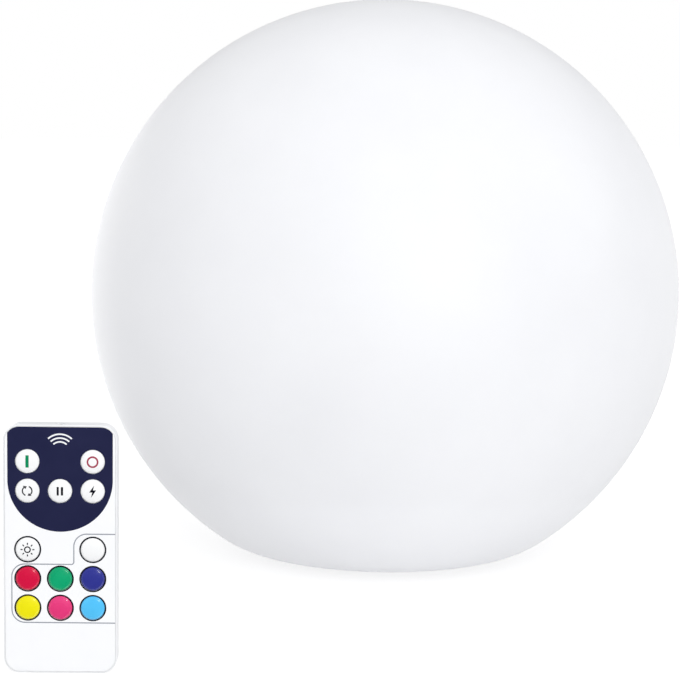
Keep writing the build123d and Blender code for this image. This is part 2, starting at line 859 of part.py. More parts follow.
def make_rear_shell():
    """The rear half of the case: a tray slot in its lower end, two rails and pillars for the board."""
    shell = slab(case_outline(0), front_shell_depth, remote_thickness)
    shell = fillet(shell.faces().sort_by(Axis.Y)[-1].edges(), remote_back_round)
    shell -= slab(case_outline(remote_wall), front_shell_depth, back_wall_front)
    lip_outer = case_outline(remote_wall - lip_thickness)
    lip_front = front_shell_depth - lip_height
    shell += slab(lip_outer - case_outline(remote_wall), lip_front, front_shell_depth)
    for x, z in pillars:
        shell += slab(Pos(x, z) * Circle(pillar_radius), remote_board_back, back_wall_front)
    slot_half = tray_half + tray_clearance
    for side in (-1, 1):
        rail = bar(rail_width / 2, remote_wall, tray_top, side * (slot_half + rail_width / 2))
        shell += slab(rail, tray_front, back_wall_front)
    shell -= slab(bar(slot_half, 0, remote_wall), tray_front - tray_front_gap, back_wall_front)
    shell -= slab(Circle(tray_grip_radius), back_wall_front, remote_thickness)
    return on_remote(shell - emitter_hole())


def make_face_film():
    film = slab(case_outline(film_inset), film_sink, film_back)
    for name in key_places:
        film -= slab(Pos(*key_place(name)) * Circle(key_radius + key_clearance), film_sink, film_back)
    return on_remote(film)


def make_key(name):
    """A domed key cap with an eased rim and a flange that keeps it behind the front plate."""
    x, z = key_place(name)
    rim = key_crown - key_proud
    flange_radius_here = key_radius + key_flange_width
    outline = [
        crown_arc(key_radius, rim, -key_proud),
        Polyline(
            (key_radius, rim),
            (key_radius, key_flange_front),
            (flange_radius_here, key_flange_front),
            (flange_radius_here, key_flange_back),
            (0, key_flange_back),
            (0, -key_proud),
        ),
    ]
    cap = spun(outline)
    near_rim = (rim - key_crown / 4, rim + key_crown / 4)
    rim_edge = cap.edges().filter_by(GeomType.CIRCLE).filter_by_position(Axis.Y, *near_rim)
    return on_remote(Pos(x, 0, z) * fillet(rim_edge, key_rim_round))


def make_snap_domes():
    dome = spun(
        [
            crown_arc(snap_dome_radius, remote_board_front, snap_dome_top),
            Polyline((snap_dome_radius, remote_board_front), (0, remote_board_front), (0, snap_dome_top)),
        ]
    )
    domes = []
    for name in key_places:
        x, z = key_place(name)
        domes.append(on_remote(Pos(x, 0, z) * dome))
    return Compound(domes)


def make_remote_board():
    outline = bar(remote_board_half, remote_board_low, remote_board_high)
    corners = outline.vertices().group_by(Axis.Y)[0]
    outline = fillet(corners, remote_corner - remote_wall)
    return on_remote(slab(outline, remote_board_front, remote_board_back))


def make_remote_chips():
    back = remote_board_back + remote_chip_height
    chip_low = remote_length - remote_top_margin - 2 * key_row
    chip = slab(bar(remote_chip_width / 2, chip_low, chip_low + remote_chip_length), remote_board_back, back)
    resonator_low = chip_low - remote_chip_length
    resonator_bar = bar(resonator_length / 2, resonator_low, resonator_low + resonator_width)
    resonator = slab(resonator_bar, remote_board_back, back)
    return Compound([on_remote(chip), on_remote(resonator)])


def make_ir_emitter():
    lamp = drum(emitter_radius, remote_board_high, emitter_tip - emitter_radius, 0, emitter_depth)
    lamp += Pos(0, emitter_depth, emitter_tip - emitter_radius) * Sphere(emitter_radius)
    return on_remote(lamp)


def make_battery_contacts():
    """A leaf that presses on the cell's face and a plate that touches its top edge."""
    foot_back = remote_board_back + contact_thickness
    foot_low = coin_z + coin_radius + tray_open
    tip = coin_front - contact_gap
    leaf_outline = Polyline(
        (remote_board_back, foot_low + contact_foot),
        (remote_board_back, foot_low),
        (tip - contact_thickness, coin_z),
        (tip, coin_z),
        (foot_back, foot_low),
        (foot_back, foot_low + contact_foot),
        close=True,
    )
    leaf = extrude(Plane.YZ * make_face(leaf_outline), contact_width)
    leaf = Pos(-contact_width - contact_thickness, 0, 0) * leaf
    edge = coin_z + coin_radius + contact_gap
    plate_bar = bar(contact_width / 2, edge, edge + contact_thickness, contact_width / 2 + contact_thickness)
    plate = slab(plate_bar, remote_board_back, coin_back - coin_cap_thickness)
    foot_bar = bar(contact_width / 2, edge, edge + contact_foot, contact_width / 2 + contact_thickness)
    plate += slab(foot_bar, remote_board_back, foot_back)
    return Compound([on_remote(leaf), on_remote(plate)])


def make_battery_tray():
    """A drawer with a round pocket, open at its inner end, and a ribbed grip at its outer end."""
    tray = slab(bar(tray_half, tray_sink, tray_top), tray_front, tray_back)
    tray -= slab(Pos(0, coin_z) * Circle(pocket_radius), tray_front, coin_back)
    for place in range(tray_groove_count):
        low = tray_sink + tray_groove + place * tray_groove_pitch
        groove = bar(tray_grip_radius / 2, low, low + tray_groove)
        tray -= slab(groove, tray_back - tray_floor / 2, tray_back)
    return on_remote(tray)


def make_coin_cell():
    can_front = coin_front + coin_cap_thickness
    cell = slab(Pos(0, coin_z) * Circle(coin_radius), can_front, coin_back)
    cell += slab(Pos(0, coin_z) * Circle(coin_cap_radius), coin_front, can_front)
    return on_remote(cell)


nodes = {
    "globe_shell": make_globe_shell(),
    "base_housing": make_base_housing(),
    "base_seal": make_base_seal(),
    "base_screws": make_base_screws(),
    "foot_ring": make_foot_ring(),
    "power_button": make_power_button(),
    "button_boot": make_button_boot(),
    "power_switch": make_power_switch(),
    "charge_socket": make_charge_socket(),
    "socket_nut": make_socket_nut(),
    "socket_cover": make_socket_cover(),
    "cover_anchor": make_cover_anchor(),
    "charge_lens": make_charge_lens(),
    "charge_led": make_charge_led(),
    "battery_cradle": make_battery_cradle(),
    "battery_cell": make_battery_cell(),
    "battery_clip": make_battery_clip(),
    "battery_tabs": make_battery_tabs(),
    "control_board": make_control_board(),
    "board_screws": make_board_screws(),
    "control_components": make_control_components(),
    "wire_connectors": make_wire_connectors(),
    "battery_lead_red": make_battery_lead(1),
    "battery_lead_black": make_battery_lead(-1),
    "socket_leads": make_lead_pair(lead_places(socket_x), socket_top + solder_tab_height),
    "switch_leads": make_lead_pair(lead_places(button_x), switch_top + solder_tab_height),
    "charge_led_leads": make_lead_pair(
        (-charge_led_radius / 2, charge_led_radius / 2), lens_top + charge_led_height + led_leg_length
    ),
    "led_leads": make_led_leads(),
    "led_board": make_led_board(),
    "led_board_screws": make_led_board_screws(),
    "colour_leds": make_chips(led_board_radius - colour_chip_margin, colour_chip_count),
    "white_leds": make_chips(white_chip_circle, white_chip_count),
    "ir_receiver": make_ir_receiver(),
    "diffuser_dome": make_diffuser_dome(),
    "front_shell": make_front_shell(),
    "rear_shell": make_rear_shell(),
    "face_film": make_face_film(),
    "snap_domes": make_snap_domes(),
    "remote_board": make_remote_board(),
    "remote_chips": make_remote_chips(),
    "ir_emitter": make_ir_emitter(),
    "battery_contacts": make_battery_contacts(),
    "battery_tray": make_battery_tray(),
    "coin_cell": make_coin_cell(),
}
for key_name in key_places:
    nodes[key_name] = make_key(key_name)

os.makedirs("parts", exist_ok=True)
for name, shape in nodes.items():
    export_step(shape, f"parts/{name}.step")
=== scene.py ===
import math
import bmesh
import bpy
from mathutils import Matrix, Vector


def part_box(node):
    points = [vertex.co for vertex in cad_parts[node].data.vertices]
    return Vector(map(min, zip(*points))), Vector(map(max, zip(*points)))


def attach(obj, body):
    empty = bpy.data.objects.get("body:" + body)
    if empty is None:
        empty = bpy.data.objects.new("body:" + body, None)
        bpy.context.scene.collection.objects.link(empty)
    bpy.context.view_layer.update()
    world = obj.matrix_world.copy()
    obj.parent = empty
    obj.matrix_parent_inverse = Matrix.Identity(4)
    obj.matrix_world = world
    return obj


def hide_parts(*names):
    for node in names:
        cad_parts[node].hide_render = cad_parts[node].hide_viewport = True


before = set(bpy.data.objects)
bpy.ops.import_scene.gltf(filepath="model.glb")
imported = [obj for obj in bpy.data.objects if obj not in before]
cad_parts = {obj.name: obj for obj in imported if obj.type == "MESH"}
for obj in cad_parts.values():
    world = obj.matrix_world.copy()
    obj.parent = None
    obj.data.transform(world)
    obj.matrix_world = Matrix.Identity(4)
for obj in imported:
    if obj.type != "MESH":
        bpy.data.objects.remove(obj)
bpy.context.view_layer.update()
MM = 0.001


# The base housing closes the globe's opening: a flanged cup with a bay in its underside.
# It is moulded in white ABS, and the tool's spark-eroded face leaves a fine grain on it.
# Four screws pull its flange up against a silicone seal.
def colour(red, green, blue):
    """A colour written as a paint chart gives it, 0 to 255, as linear light."""
    steps = (red / 255, green / 255, blue / 255)
    return [s / 12.92 if s <= 0.04045 else ((s + 0.055) / 1.055) ** 2.4 for s in steps]


def number_group(name, inputs, outputs, vectors=()):
    """An empty node group with its sockets, and its nodes, its links and its two ends."""
    group = bpy.data.node_groups.new(name, "ShaderNodeTree")
    sockets = [(socket, "INPUT", "NodeSocketFloat") for socket in inputs]
    sockets += [(socket, "INPUT", "NodeSocketVector") for socket in vectors]
    sockets += [(socket, "OUTPUT", "NodeSocketFloat") for socket in outputs]
    for socket, way, kind in sockets:
        group.interface.new_socket(name=socket, in_out=way, socket_type=kind)
    nodes = group.nodes
    return group, nodes, group.links, nodes.new("NodeGroupInput"), nodes.new("NodeGroupOutput")


def cloud(nodes, links, place, scale, detail=2.0):
    """A cloudy noise, from 0 to 1."""
    noise = nodes.new("ShaderNodeTexNoise")
    noise.inputs["Detail"].default_value = detail
    links.new(place, noise.inputs["Vector"])
    links.new(scale, noise.inputs["Scale"])
    return noise.outputs["Fac"]


def spread(nodes, links, value, given, wanted):
    """Stretches a value from one span to another."""
    node = nodes.new("ShaderNodeMapRange")
    for socket, end in zip(("From Min", "From Max", "To Min", "To Max"), (*given, *wanted)):
        node.inputs[socket].default_value = end
    links.new(value, node.inputs["Value"])
    return node.outputs["Result"]


def reckon(nodes, links, operation, *terms):
    """Works a number out from sockets and plain numbers."""
    node = nodes.new("ShaderNodeMath")
    node.operation = operation
    for term, socket in zip(terms, node.inputs):
        if isinstance(term, float):
            socket.default_value = term
        else:
            links.new(term, socket)
    return node.outputs["Value"]


def make_moulded_skin():
    """Fine tool grain, slow unevenness and sparse hairline scuffs of moulded plastic and rubber."""
    group, nodes, links, given, result = number_group(
        "moulded_skin", ("Grain Scale", "Wave Scale", "Scuff Scale"), ("Grain", "Unevenness", "Scuffs")
    )
    slow_detail = 5.0
    hairline_width = 0.02
    patch_edge = (0.52, 0.68)
    place = nodes.new("ShaderNodeTexCoord").outputs["Object"]
    links.new(cloud(nodes, links, place, given.outputs["Grain Scale"]), result.inputs["Grain"])
    slow = cloud(nodes, links, place, given.outputs["Wave Scale"], slow_detail)
    links.new(slow, result.inputs["Unevenness"])
    cells = nodes.new("ShaderNodeTexVoronoi")
    cells.feature = "DISTANCE_TO_EDGE"
    links.new(place, cells.inputs["Vector"])
    links.new(given.outputs["Scuff Scale"], cells.inputs["Scale"])
    hairlines = spread(nodes, links, cells.outputs["Distance"], (0.0, hairline_width), (1.0, 0.0))
    patches = cloud(nodes, links, place, given.outputs["Scuff Scale"])
    sparse = spread(nodes, links, patches, patch_edge, (0.0, 1.0))
    links.new(reckon(nodes, links, "MULTIPLY", hairlines, sparse), result.inputs["Scuffs"])
    return group


moulded_skin = make_moulded_skin()


def new_finish(name):
    """A new material, with its nodes, its links and its shader."""
    material = bpy.data.materials.new(name)
    material.use_nodes = True
    tree = material.node_tree
    return material, tree.nodes, tree.links, tree.nodes["Principled BSDF"]


def two_tones(nodes, links, value, span, tone, second_tone):
    """Runs from one colour to another over a span of a value."""
    ramp = nodes.new("ShaderNodeValToRGB")
    for stop, position, shade in zip(ramp.color_ramp.elements, span, (tone, second_tone)):
        stop.position = position
        stop.color = (*shade, 1)
    links.new(value, ramp.inputs["Fac"])
    return ramp.outputs["Color"]


def relieve(nodes, links, shader, height, depth):
    """Gives a shader a fine relief, with its depth in mm."""
    bump = nodes.new("ShaderNodeBump")
    bump.inputs["Strength"].default_value = 1.0
    bump.inputs["Distance"].default_value = depth * MM
    links.new(height, bump.inputs["Height"])
    links.new(bump.outputs["Normal"], shader.inputs["Normal"])


def plastic(name, tone, second_tone, gloss, grain=1500.0, wave=35.0, relief=0.02, scuff=0.0, **fixed):
    """A moulded finish: two close tones, a roughness from gloss[0] to gloss[1], relief in mm, and scuffs.
    What is left over is set on the shader's own sockets, with _ for a space in their names."""
    scuffs_per_wave = 3
    tone_span = (0.35, 0.65)
    gloss_span = (0.3, 0.7)
    material, nodes, links, shader = new_finish(name)
    for socket, value in fixed.items():
        shader.inputs[socket.replace("_", " ")].default_value = value
    skin = nodes.new("ShaderNodeGroup")
    skin.node_tree = moulded_skin
    skin.inputs["Grain Scale"].default_value = grain
    skin.inputs["Wave Scale"].default_value = wave
    skin.inputs["Scuff Scale"].default_value = wave * scuffs_per_wave
    uneven = skin.outputs["Unevenness"]
    links.new(two_tones(nodes, links, uneven, tone_span, tone, second_tone), shader.inputs["Base Color"])
    dullness = spread(nodes, links, uneven, gloss_span, gloss)
    worn = reckon(nodes, links, "MULTIPLY_ADD", skin.outputs["Scuffs"], scuff, dullness)
    links.new(worn, shader.inputs["Roughness"])
    relieve(nodes, links, shader, skin.outputs["Grain"], relief)
    return material


def dress(material, *names):
    """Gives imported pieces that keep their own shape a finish."""
    for name in names:
        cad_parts[name].material_slots[0].material = material


base_white = plastic(
    "base_white", colour(226, 228, 232), colour(234, 236, 239), (0.42, 0.54),
    grain=2200, relief=0.025, scuff=0.12,
)
dress(base_white, "base_housing")


# The seal, the button's boot, the socket's cover and its anchor are soft silicone mouldings.
# They are pressed or buttoned into place, and their matt skin holds a little dust.
silicone = plastic(
    "silicone", colour(196, 199, 203), colour(208, 210, 213), (0.62, 0.74),
    grain=900, wave=60, relief=0.03, scuff=0.1, Specular_IOR_Level=0.35,
)
dress(silicone, "base_seal", "button_boot", "socket_cover", "cover_anchor")


# The power button is a satin grey cap whose stem works a latching switch above the bay.
# The switch, the cell's cradle, the small components and the receiver are black moulded cases.
button_grey = plastic(
    "button_grey", colour(150, 154, 160), colour(160, 163, 168), (0.3, 0.4),
    grain=1800, wave=50, relief=0.012,
)
dress(button_grey, "power_button")
case_black = plastic(
    "case_black", colour(26, 26, 28), colour(38, 38, 41), (0.36, 0.5),
    grain=1600, wave=70, relief=0.02, scuff=0.15,
)
dress(case_black, "power_switch", "battery_cradle", "control_components", "ir_receiver", "remote_chips")


# The charging socket is a glossy black panel socket with a pin inside, held by a nut behind the bay.
# The nut, the cell's clip and end tabs, the snap domes and the contacts are nickel-plated strip or bar.
socket_black = plastic(
    "socket_black", colour(20, 20, 22), colour(30, 30, 32), (0.16, 0.26),
    grain=700, wave=80, relief=0.006, scuff=0.2,
)
dress(socket_black, "charge_socket")


def make_brushed_grain():
    """Long fine streaks of rolled, turned or brushed metal, and the slow clouding of its plating."""
    group, nodes, links, given, result = number_group(
        "brushed_grain", ("Streak Scale",), ("Streaks", "Clouding")
    )
    drawn_out = (1.0, 14.0, 14.0)
    streak_detail = 4.0
    place = nodes.new("ShaderNodeTexCoord").outputs["Object"]
    scale = given.outputs["Streak Scale"]
    stretch = nodes.new("ShaderNodeMapping")
    stretch.inputs["Scale"].default_value = drawn_out
    links.new(place, stretch.inputs["Vector"])
    streaks = cloud(nodes, links, stretch.outputs["Vector"], scale, streak_detail)
    links.new(streaks, result.inputs["Streaks"])
    links.new(cloud(nodes, links, place, scale), result.inputs["Clouding"])
    return group


brushed_grain = make_brushed_grain()


def plated(name, tone, second_tone, gloss, streaks=220.0, relief=0.002):
    """A metal finish: clouding in tone, streaks in roughness, and a trace of them as relief in mm."""
    span = (0.3, 0.7)
    material, nodes, links, shader = new_finish(name)
    shader.inputs["Metallic"].default_value = 1.0
    grain = nodes.new("ShaderNodeGroup")
    grain.node_tree = brushed_grain
    grain.inputs["Streak Scale"].default_value = streaks
    tones = two_tones(nodes, links, grain.outputs["Clouding"], span, tone, second_tone)
    links.new(tones, shader.inputs["Base Color"])
    links.new(spread(nodes, links, grain.outputs["Streaks"], span, gloss), shader.inputs["Roughness"])
    relieve(nodes, links, shader, grain.outputs["Streaks"], relief)
    return material


nickel = plated("nickel", colour(206, 203, 196), colour(222, 219, 212), (0.26, 0.34))
dress(nickel, "socket_nut", "battery_clip", "battery_tabs", "snap_domes", "battery_contacts")


# The charging lamp shows through a small milky lens in the bay's ceiling, pressed in from above.
# The lamp behind it and the remote's emitter are cast in the same clear to milky resin.
milky_resin = plastic(
    "milky_resin", colour(228, 232, 234), colour(238, 241, 242), (0.12, 0.22),
    grain=500, wave=120, relief=0.004,
    Transmission_Weight=0.35, IOR=1.5, Subsurface_Weight=0.2, Subsurface_Scale=0.002,
)
dress(milky_resin, "charge_lens", "charge_led", "ir_emitter")


# The rechargeable cell is a rolled steel can in a blue shrink sleeve, held in a cradle by a spring clip.
# The sleeve is thin glossy film, drawn tight, with faint shrink ripples.
cell_sleeve = plastic(
    "cell_sleeve", colour(58, 112, 190), colour(66, 122, 200), (0.2, 0.32),
    grain=160, wave=90, relief=0.05, scuff=0.2, Coat_Weight=0.3, Coat_Roughness=0.15,
)
dress(cell_sleeve, "battery_cell")


# The circuit boards are glass-fibre plates with copper tracks under a green or white solder mask.
# Two are screwed to posts in the cup, and the remote's own is clamped between its shells.
def make_copper_tracks():
    """Fields of parallel tracks, some across and some along the board, that stand a little proud."""
    group, nodes, links, given, result = number_group(
        "copper_tracks", ("Track Scale", "Field Scale"), ("Tracks",), vectors=("Turn",)
    )
    even_chance = 0.5
    track_edge = (0.55, 0.68)
    place = nodes.new("ShaderNodeTexCoord").outputs["Object"]
    turned = nodes.new("ShaderNodeMapping")
    links.new(place, turned.inputs["Vector"])
    links.new(given.outputs["Turn"], turned.inputs["Rotation"])
    fields = nodes.new("ShaderNodeTexVoronoi")
    fields.distance = "CHEBYCHEV"
    links.new(turned.outputs["Vector"], fields.inputs["Vector"])
    links.new(given.outputs["Field Scale"], fields.inputs["Scale"])
    draw = nodes.new("ShaderNodeSeparateColor")
    links.new(fields.outputs["Color"], draw.inputs["Color"])
    runs = nodes.new("ShaderNodeMix")
    links.new(reckon(nodes, links, "GREATER_THAN", draw.outputs["Red"], even_chance), runs.inputs["Factor"])
    for direction, socket in (("X", "A"), ("Y", "B")):
        bands = nodes.new("ShaderNodeTexWave")
        bands.bands_direction = direction
        links.new(turned.outputs["Vector"], bands.inputs["Vector"])
        links.new(given.outputs["Track Scale"], bands.inputs["Scale"])
        links.new(bands.outputs["Fac"], runs.inputs[socket])
    etched = spread(nodes, links, runs.outputs["Result"], track_edge, (0.0, 1.0))
    links.new(etched, result.inputs["Tracks"])
    return group


copper_tracks = make_copper_tracks()


def solder_mask(name, ground, over_track, lie):
    """A solder mask over copper: the tracks show as another tone and as a slight relief."""
    track_scale = 230.0
    field_scale = 150.0
    whole_span = (0.0, 1.0)
    mask_gloss = (0.34, 0.24)
    track_height = 0.03
    material, nodes, links, shader = new_finish(name)
    tracks = nodes.new("ShaderNodeGroup")
    tracks.node_tree = copper_tracks
    tracks.inputs["Track Scale"].default_value = track_scale
    tracks.inputs["Field Scale"].default_value = field_scale
    tracks.inputs["Turn"].default_value = lie
    proud = tracks.outputs["Tracks"]
    links.new(two_tones(nodes, links, proud, whole_span, ground, over_track), shader.inputs["Base Color"])
    links.new(spread(nodes, links, proud, whole_span, mask_gloss), shader.inputs["Roughness"])
    relieve(nodes, links, shader, proud, track_height)
    return material


flat_lie = (0.0, 0.0, 0.0)
upright_lie = (math.pi / 2, 0.0, 0.0)
mask_green = (colour(18, 92, 52), colour(48, 128, 74))
mask_white = (colour(236, 238, 236), colour(226, 227, 224))
dress(solder_mask("green_mask", *mask_green, flat_lie), "control_board")
dress(solder_mask("green_mask_upright", *mask_green, upright_lie), "remote_board")
dress(solder_mask("white_mask", *mask_white, flat_lie), "led_board")


# The wire connectors are natural nylon shells soldered to the control board.
# The leads that run to them are stranded wire in soft red or black insulation.
nylon = plastic(
    "nylon", colour(232, 226, 206), colour(240, 235, 218), (0.4, 0.52),
    grain=1400, wave=90, relief=0.012, Subsurface_Weight=0.1, Subsurface_Scale=0.002,
)
dress(nylon, "wire_connectors")


def insulation(name, tone, second_tone):
    """The soft skin of a lead."""
    return plastic(name, tone, second_tone, (0.36, 0.48), grain=1100, wave=140, relief=0.015)


lead_red = insulation("lead_red", colour(188, 34, 34), colour(204, 48, 44))
dress(lead_red, "battery_lead_red", "switch_leads", "led_leads")
lead_black = insulation("lead_black", colour(28, 28, 30), colour(40, 40, 42))
dress(lead_black, "battery_lead_black", "socket_leads", "charge_led_leads")


# The screws are cold-headed steel with cross recesses in their pan heads, zinc plated.
# Four hold the base up against its seal, four hold the control board and three the lamp board.
zinc = plated("zinc", colour(176, 177, 180), colour(204, 205, 208), (0.28, 0.38), streaks=300)
dress(zinc, "base_screws", "board_screws", "led_board_screws")


# The lamp chips are white packages in two rings, soldered to the lamp board round the infrared receiver.
# Each has a window sunk in its top: clear resin in the colour chips, yellow phosphor in the white ones.
def chip_finish(name, filling):
    """A white package whose sunk window, a little below the top, has a filling of its own colour."""
    window_sink = 0.3 * MM
    window_slack = 0.02 * MM
    material = plastic(
        name, colour(238, 238, 232), colour(244, 244, 240), (0.3, 0.4), grain=900, wave=200, relief=0.006
    )
    nodes, links = material.node_tree.nodes, material.node_tree.links
    window_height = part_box("colour_leds")[1].z - window_sink
    split = nodes.new("ShaderNodeSeparateXYZ")
    links.new(nodes.new("ShaderNodeTexCoord").outputs["Object"], split.inputs["Vector"])
    filled = nodes.new("ShaderNodeMix")
    filled.data_type = "RGBA"
    package, window = (socket for socket in filled.inputs if socket.type == "RGBA")
    mixed = next(socket for socket in filled.outputs if socket.type == "RGBA")
    window.default_value = (*filling, 1)
    base = nodes["Principled BSDF"].inputs["Base Color"]
    links.new(base.links[0].from_socket, package)
    in_window = reckon(nodes, links, "COMPARE", split.outputs["Z"], window_height, window_slack)
    links.new(in_window, filled.inputs["Factor"])
    links.new(mixed, base)
    return material


dress(chip_finish("clear_chip", colour(188, 190, 182)), "colour_leds")
dress(chip_finish("phosphor_chip", colour(236, 208, 84)), "white_leds")


# The diffuser dome is a thin opal polycarbonate cap that stands on the cup's rim.
# It spreads the chips' light before it reaches the globe.
opal = plastic(
    "opal", colour(240, 240, 238), colour(245, 245, 243), (0.4, 0.5),
    grain=1300, wave=30, relief=0.01, Subsurface_Weight=0.4, Subsurface_Scale=0.004,
)
dress(opal, "diffuser_dome")


# The globe is a blow-moulded ball of translucent white polyethylene, 250 mm across, with no seam to be seen.
# Its underside rolls into a flat ring with a recess, whose ledge and bosses take the base and its screws.
# The skin is matt with a faint waxy unevenness, and light that enters it spreads a few millimetres.
def arc(bm, start, centre, axis, angle, steps):
    """Runs an edge chain from a vertex round a centre, and gives its last vertex."""
    made = bmesh.ops.spin(
        bm, geom=[start], cent=centre, axis=axis, dvec=(0, 0, 0), angle=angle, steps=steps
    )
    return next(v for v in made["geom_last"] if isinstance(v, bmesh.types.BMVert))


def run(bm, start, *points):
    """Runs straight edges from a vertex through some points, and gives its new vertices."""
    made = []
    for point in points:
        start = bmesh.ops.extrude_vert_indiv(bm, verts=[start])["verts"][0]
        start.co = point
        made.append(start)
    return made


def turn(bm, centre, axis, steps):
    """Turns an outline all the way round into a closed shape."""
    weld = 0.001 * MM
    outline = bm.verts[:] + bm.edges[:]
    bmesh.ops.spin(
        bm, geom=outline, cent=centre, axis=axis, dvec=(0, 0, 0), angle=math.tau, steps=steps, use_merge=True
    )
    bmesh.ops.remove_doubles(bm, verts=bm.verts[:], dist=weld)
    bmesh.ops.recalc_face_normals(bm, faces=bm.faces[:])


def ease(bm, corners, radius, segments=4):
    """Rounds corners of an outline."""
    bmesh.ops.bevel(
        bm, geom=corners, offset=radius, affect="VERTICES", segments=segments, profile=0.5, material=-1
    )


def piece(name, bm, material, body, slot, *replaced, crease=35.0):
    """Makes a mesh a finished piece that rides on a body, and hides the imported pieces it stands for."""
    mesh = bpy.data.meshes.new(name)
    bm.to_mesh(mesh)
    bm.free()
    mesh.shade_smooth()
    mesh.set_sharp_from_angle(angle=math.radians(crease))
    mesh.materials.append(material)
    made = bpy.data.objects.new(name, mesh)
    bpy.context.scene.collection.objects.link(made)
    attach(made, body)
    if replaced:
        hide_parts(*replaced)


globe_radius = 125.0 * MM
globe_wall = 3.0 * MM
ball_height = 110.8977 * MM
roll_radius = 37.5 * MM
roll_height = 39.0 * MM
flat_radius = 49.8695 * MM
recess_radius = 46.8695 * MM
opening_radius = 38.4695 * MM
underside = roll_height - roll_radius
ledge_low = 5.5 * MM
ledge_high = 9.0 * MM
lip_round = 0.5 * MM
boss_circle = 42.2695 * MM
boss_radius = 3.8 * MM
boss_height = 8.0 * MM
boss_count = 4
first_boss = math.radians(45)
ball_steps = 112
roll_steps = 28
inner_ball_steps = 48
inner_roll_steps = 16
globe_sides = 192
boss_sides = 32
upright = (0, 0, 1)
across = (0, 1, 0)

ball_centre = (0, 0, ball_height)
roll_centre = (flat_radius, 0, roll_height)
roll_turn = math.atan2(flat_radius, ball_height - roll_height)
ball_turn = math.pi - roll_turn
shell = bmesh.new()
crown = shell.verts.new((0, 0, ball_height + globe_radius))
waist = arc(shell, crown, ball_centre, across, ball_turn, ball_steps)
flat_edge = arc(shell, waist, roll_centre, across, roll_turn, roll_steps)
recess = run(
    shell,
    flat_edge,
    (recess_radius, 0, underside),
    (recess_radius, 0, ledge_low),
    (opening_radius, 0, ledge_low),
    (opening_radius, 0, ledge_high),
    (flat_radius, 0, ledge_high),
    (flat_radius, 0, underside + globe_wall),
)
inner_waist = arc(shell, recess[-1], roll_centre, across, -roll_turn, inner_roll_steps)
arc(shell, inner_waist, ball_centre, across, -ball_turn, inner_ball_steps)
ease(shell, [recess[0]], lip_round)
turn(shell, (0, 0, 0), upright, globe_sides)
for number in range(boss_count):
    bearing = first_boss + math.tau * number / boss_count
    boss_middle = (
        boss_circle * math.cos(bearing),
        boss_circle * math.sin(bearing),
        ledge_high + boss_height / 2,
    )
    bmesh.ops.create_cone(
        shell, cap_ends=True, segments=boss_sides, radius1=boss_radius, radius2=boss_radius,
        depth=boss_height, matrix=Matrix.Translation(boss_middle),
    )
globe_white = plastic(
    "globe_white", colour(239, 240, 244), colour(243, 244, 248), (0.42, 0.5),
    grain=700, wave=14, relief=0.012, Specular_IOR_Level=0.4,
    Subsurface_Weight=0.3, Subsurface_Radius=(1.0, 1.0, 1.0), Subsurface_Scale=0.006,
)
piece("globe", shell, globe_white, "lamp", "globe", "globe_shell")


# The foot is a dark rubber ring pressed into a groove in the base, so that the globe doesn't slide.
# Its skin is dull, and a little scuffed where it stands.
foot_rubber = plastic(
    "foot_rubber", colour(70, 72, 76), colour(86, 88, 92), (0.68, 0.82),
    grain=1300, wave=90, relief=0.04, scuff=0.1, Specular_IOR_Level=0.3,
)
dress(foot_rubber, "foot_ring")


# The remote's rear shell and the cell's tray are moulded in satin white ABS, finer in grain than the base.
# The rear shell has the tray's slot in its lower end, and clips to the front shell all round.
case_white = plastic(
    "case_white", colour(238, 240, 242), colour(243, 244, 246), (0.34, 0.44),
    grain=2600, wave=45, relief=0.01, scuff=0.1,
)
dress(case_white, "rear_shell", "battery_tray")


# The coin cell is a pressed steel can, nickel plated and brushed across its face.
# It lies loose in its tray and slides in and out with it.
coin_steel = plated("coin_steel", colour(198, 198, 200), colour(220, 220, 222), (0.26, 0.34), streaks=260)
dress(coin_steel, "coin_cell")


# The thirteen keys are glossy domed caps, each moulded in its own colour, with a flange that holds it in.
# They stand proud of the face by less than a millimetre.
# A small step runs round each crown, inside its eased rim.
key_radius = 4.0 * MM
key_crown = 0.6 * MM
key_flange_front = 2.2 * MM
key_rim_round = 0.22 * MM
key_step_radius = 3.5 * MM
key_step = 0.2 * MM
key_step_round = 0.06 * MM
key_sink = 0.03 * MM
key_sphere = (key_radius**2 + key_crown**2) / (2 * key_crown)
key_sides = 72
key_crown_steps = 12
key_step_segments = 3
key_rim_segments = 6
key_crease = 50.0


def key_middle(name):
    """The top of a key's crown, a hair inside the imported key."""
    low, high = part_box(name)
    return Vector(((low.x + high.x) / 2, low.y + key_sink, (low.z + high.z) / 2))


def key_cap(name, material, slot):
    """A cap turned about the remote's depth, from its crown to its flange."""
    low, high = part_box(name)
    middle = key_middle(name)
    flange_radius = (high.x - low.x) / 2
    flange = low.y + key_flange_front
    crown_centre = middle + Vector((0, key_sphere, 0))
    crown_turn = math.asin(key_step_radius / key_sphere)
    bm = bmesh.new()
    crown = bm.verts.new(middle)
    step = arc(bm, crown, crown_centre, upright, crown_turn, key_crown_steps)
    foot, rim, *_ = run(
        bm,
        step,
        step.co + Vector((key_step, key_step, 0)),
        (middle.x + key_radius, middle.y + key_crown + key_step / 2, middle.z),
        (middle.x + key_radius, flange, middle.z),
        (middle.x + flange_radius, flange, middle.z),
        (middle.x + flange_radius, high.y, middle.z),
        (middle.x, high.y, middle.z),
    )
    ease(bm, [step, foot], key_step_round, key_step_segments)
    ease(bm, [rim], key_rim_round, key_rim_segments)
    turn(bm, middle, across, key_sides)
    piece(name + "_cap", bm, material, name + "_body", slot, name, crease=key_crease)


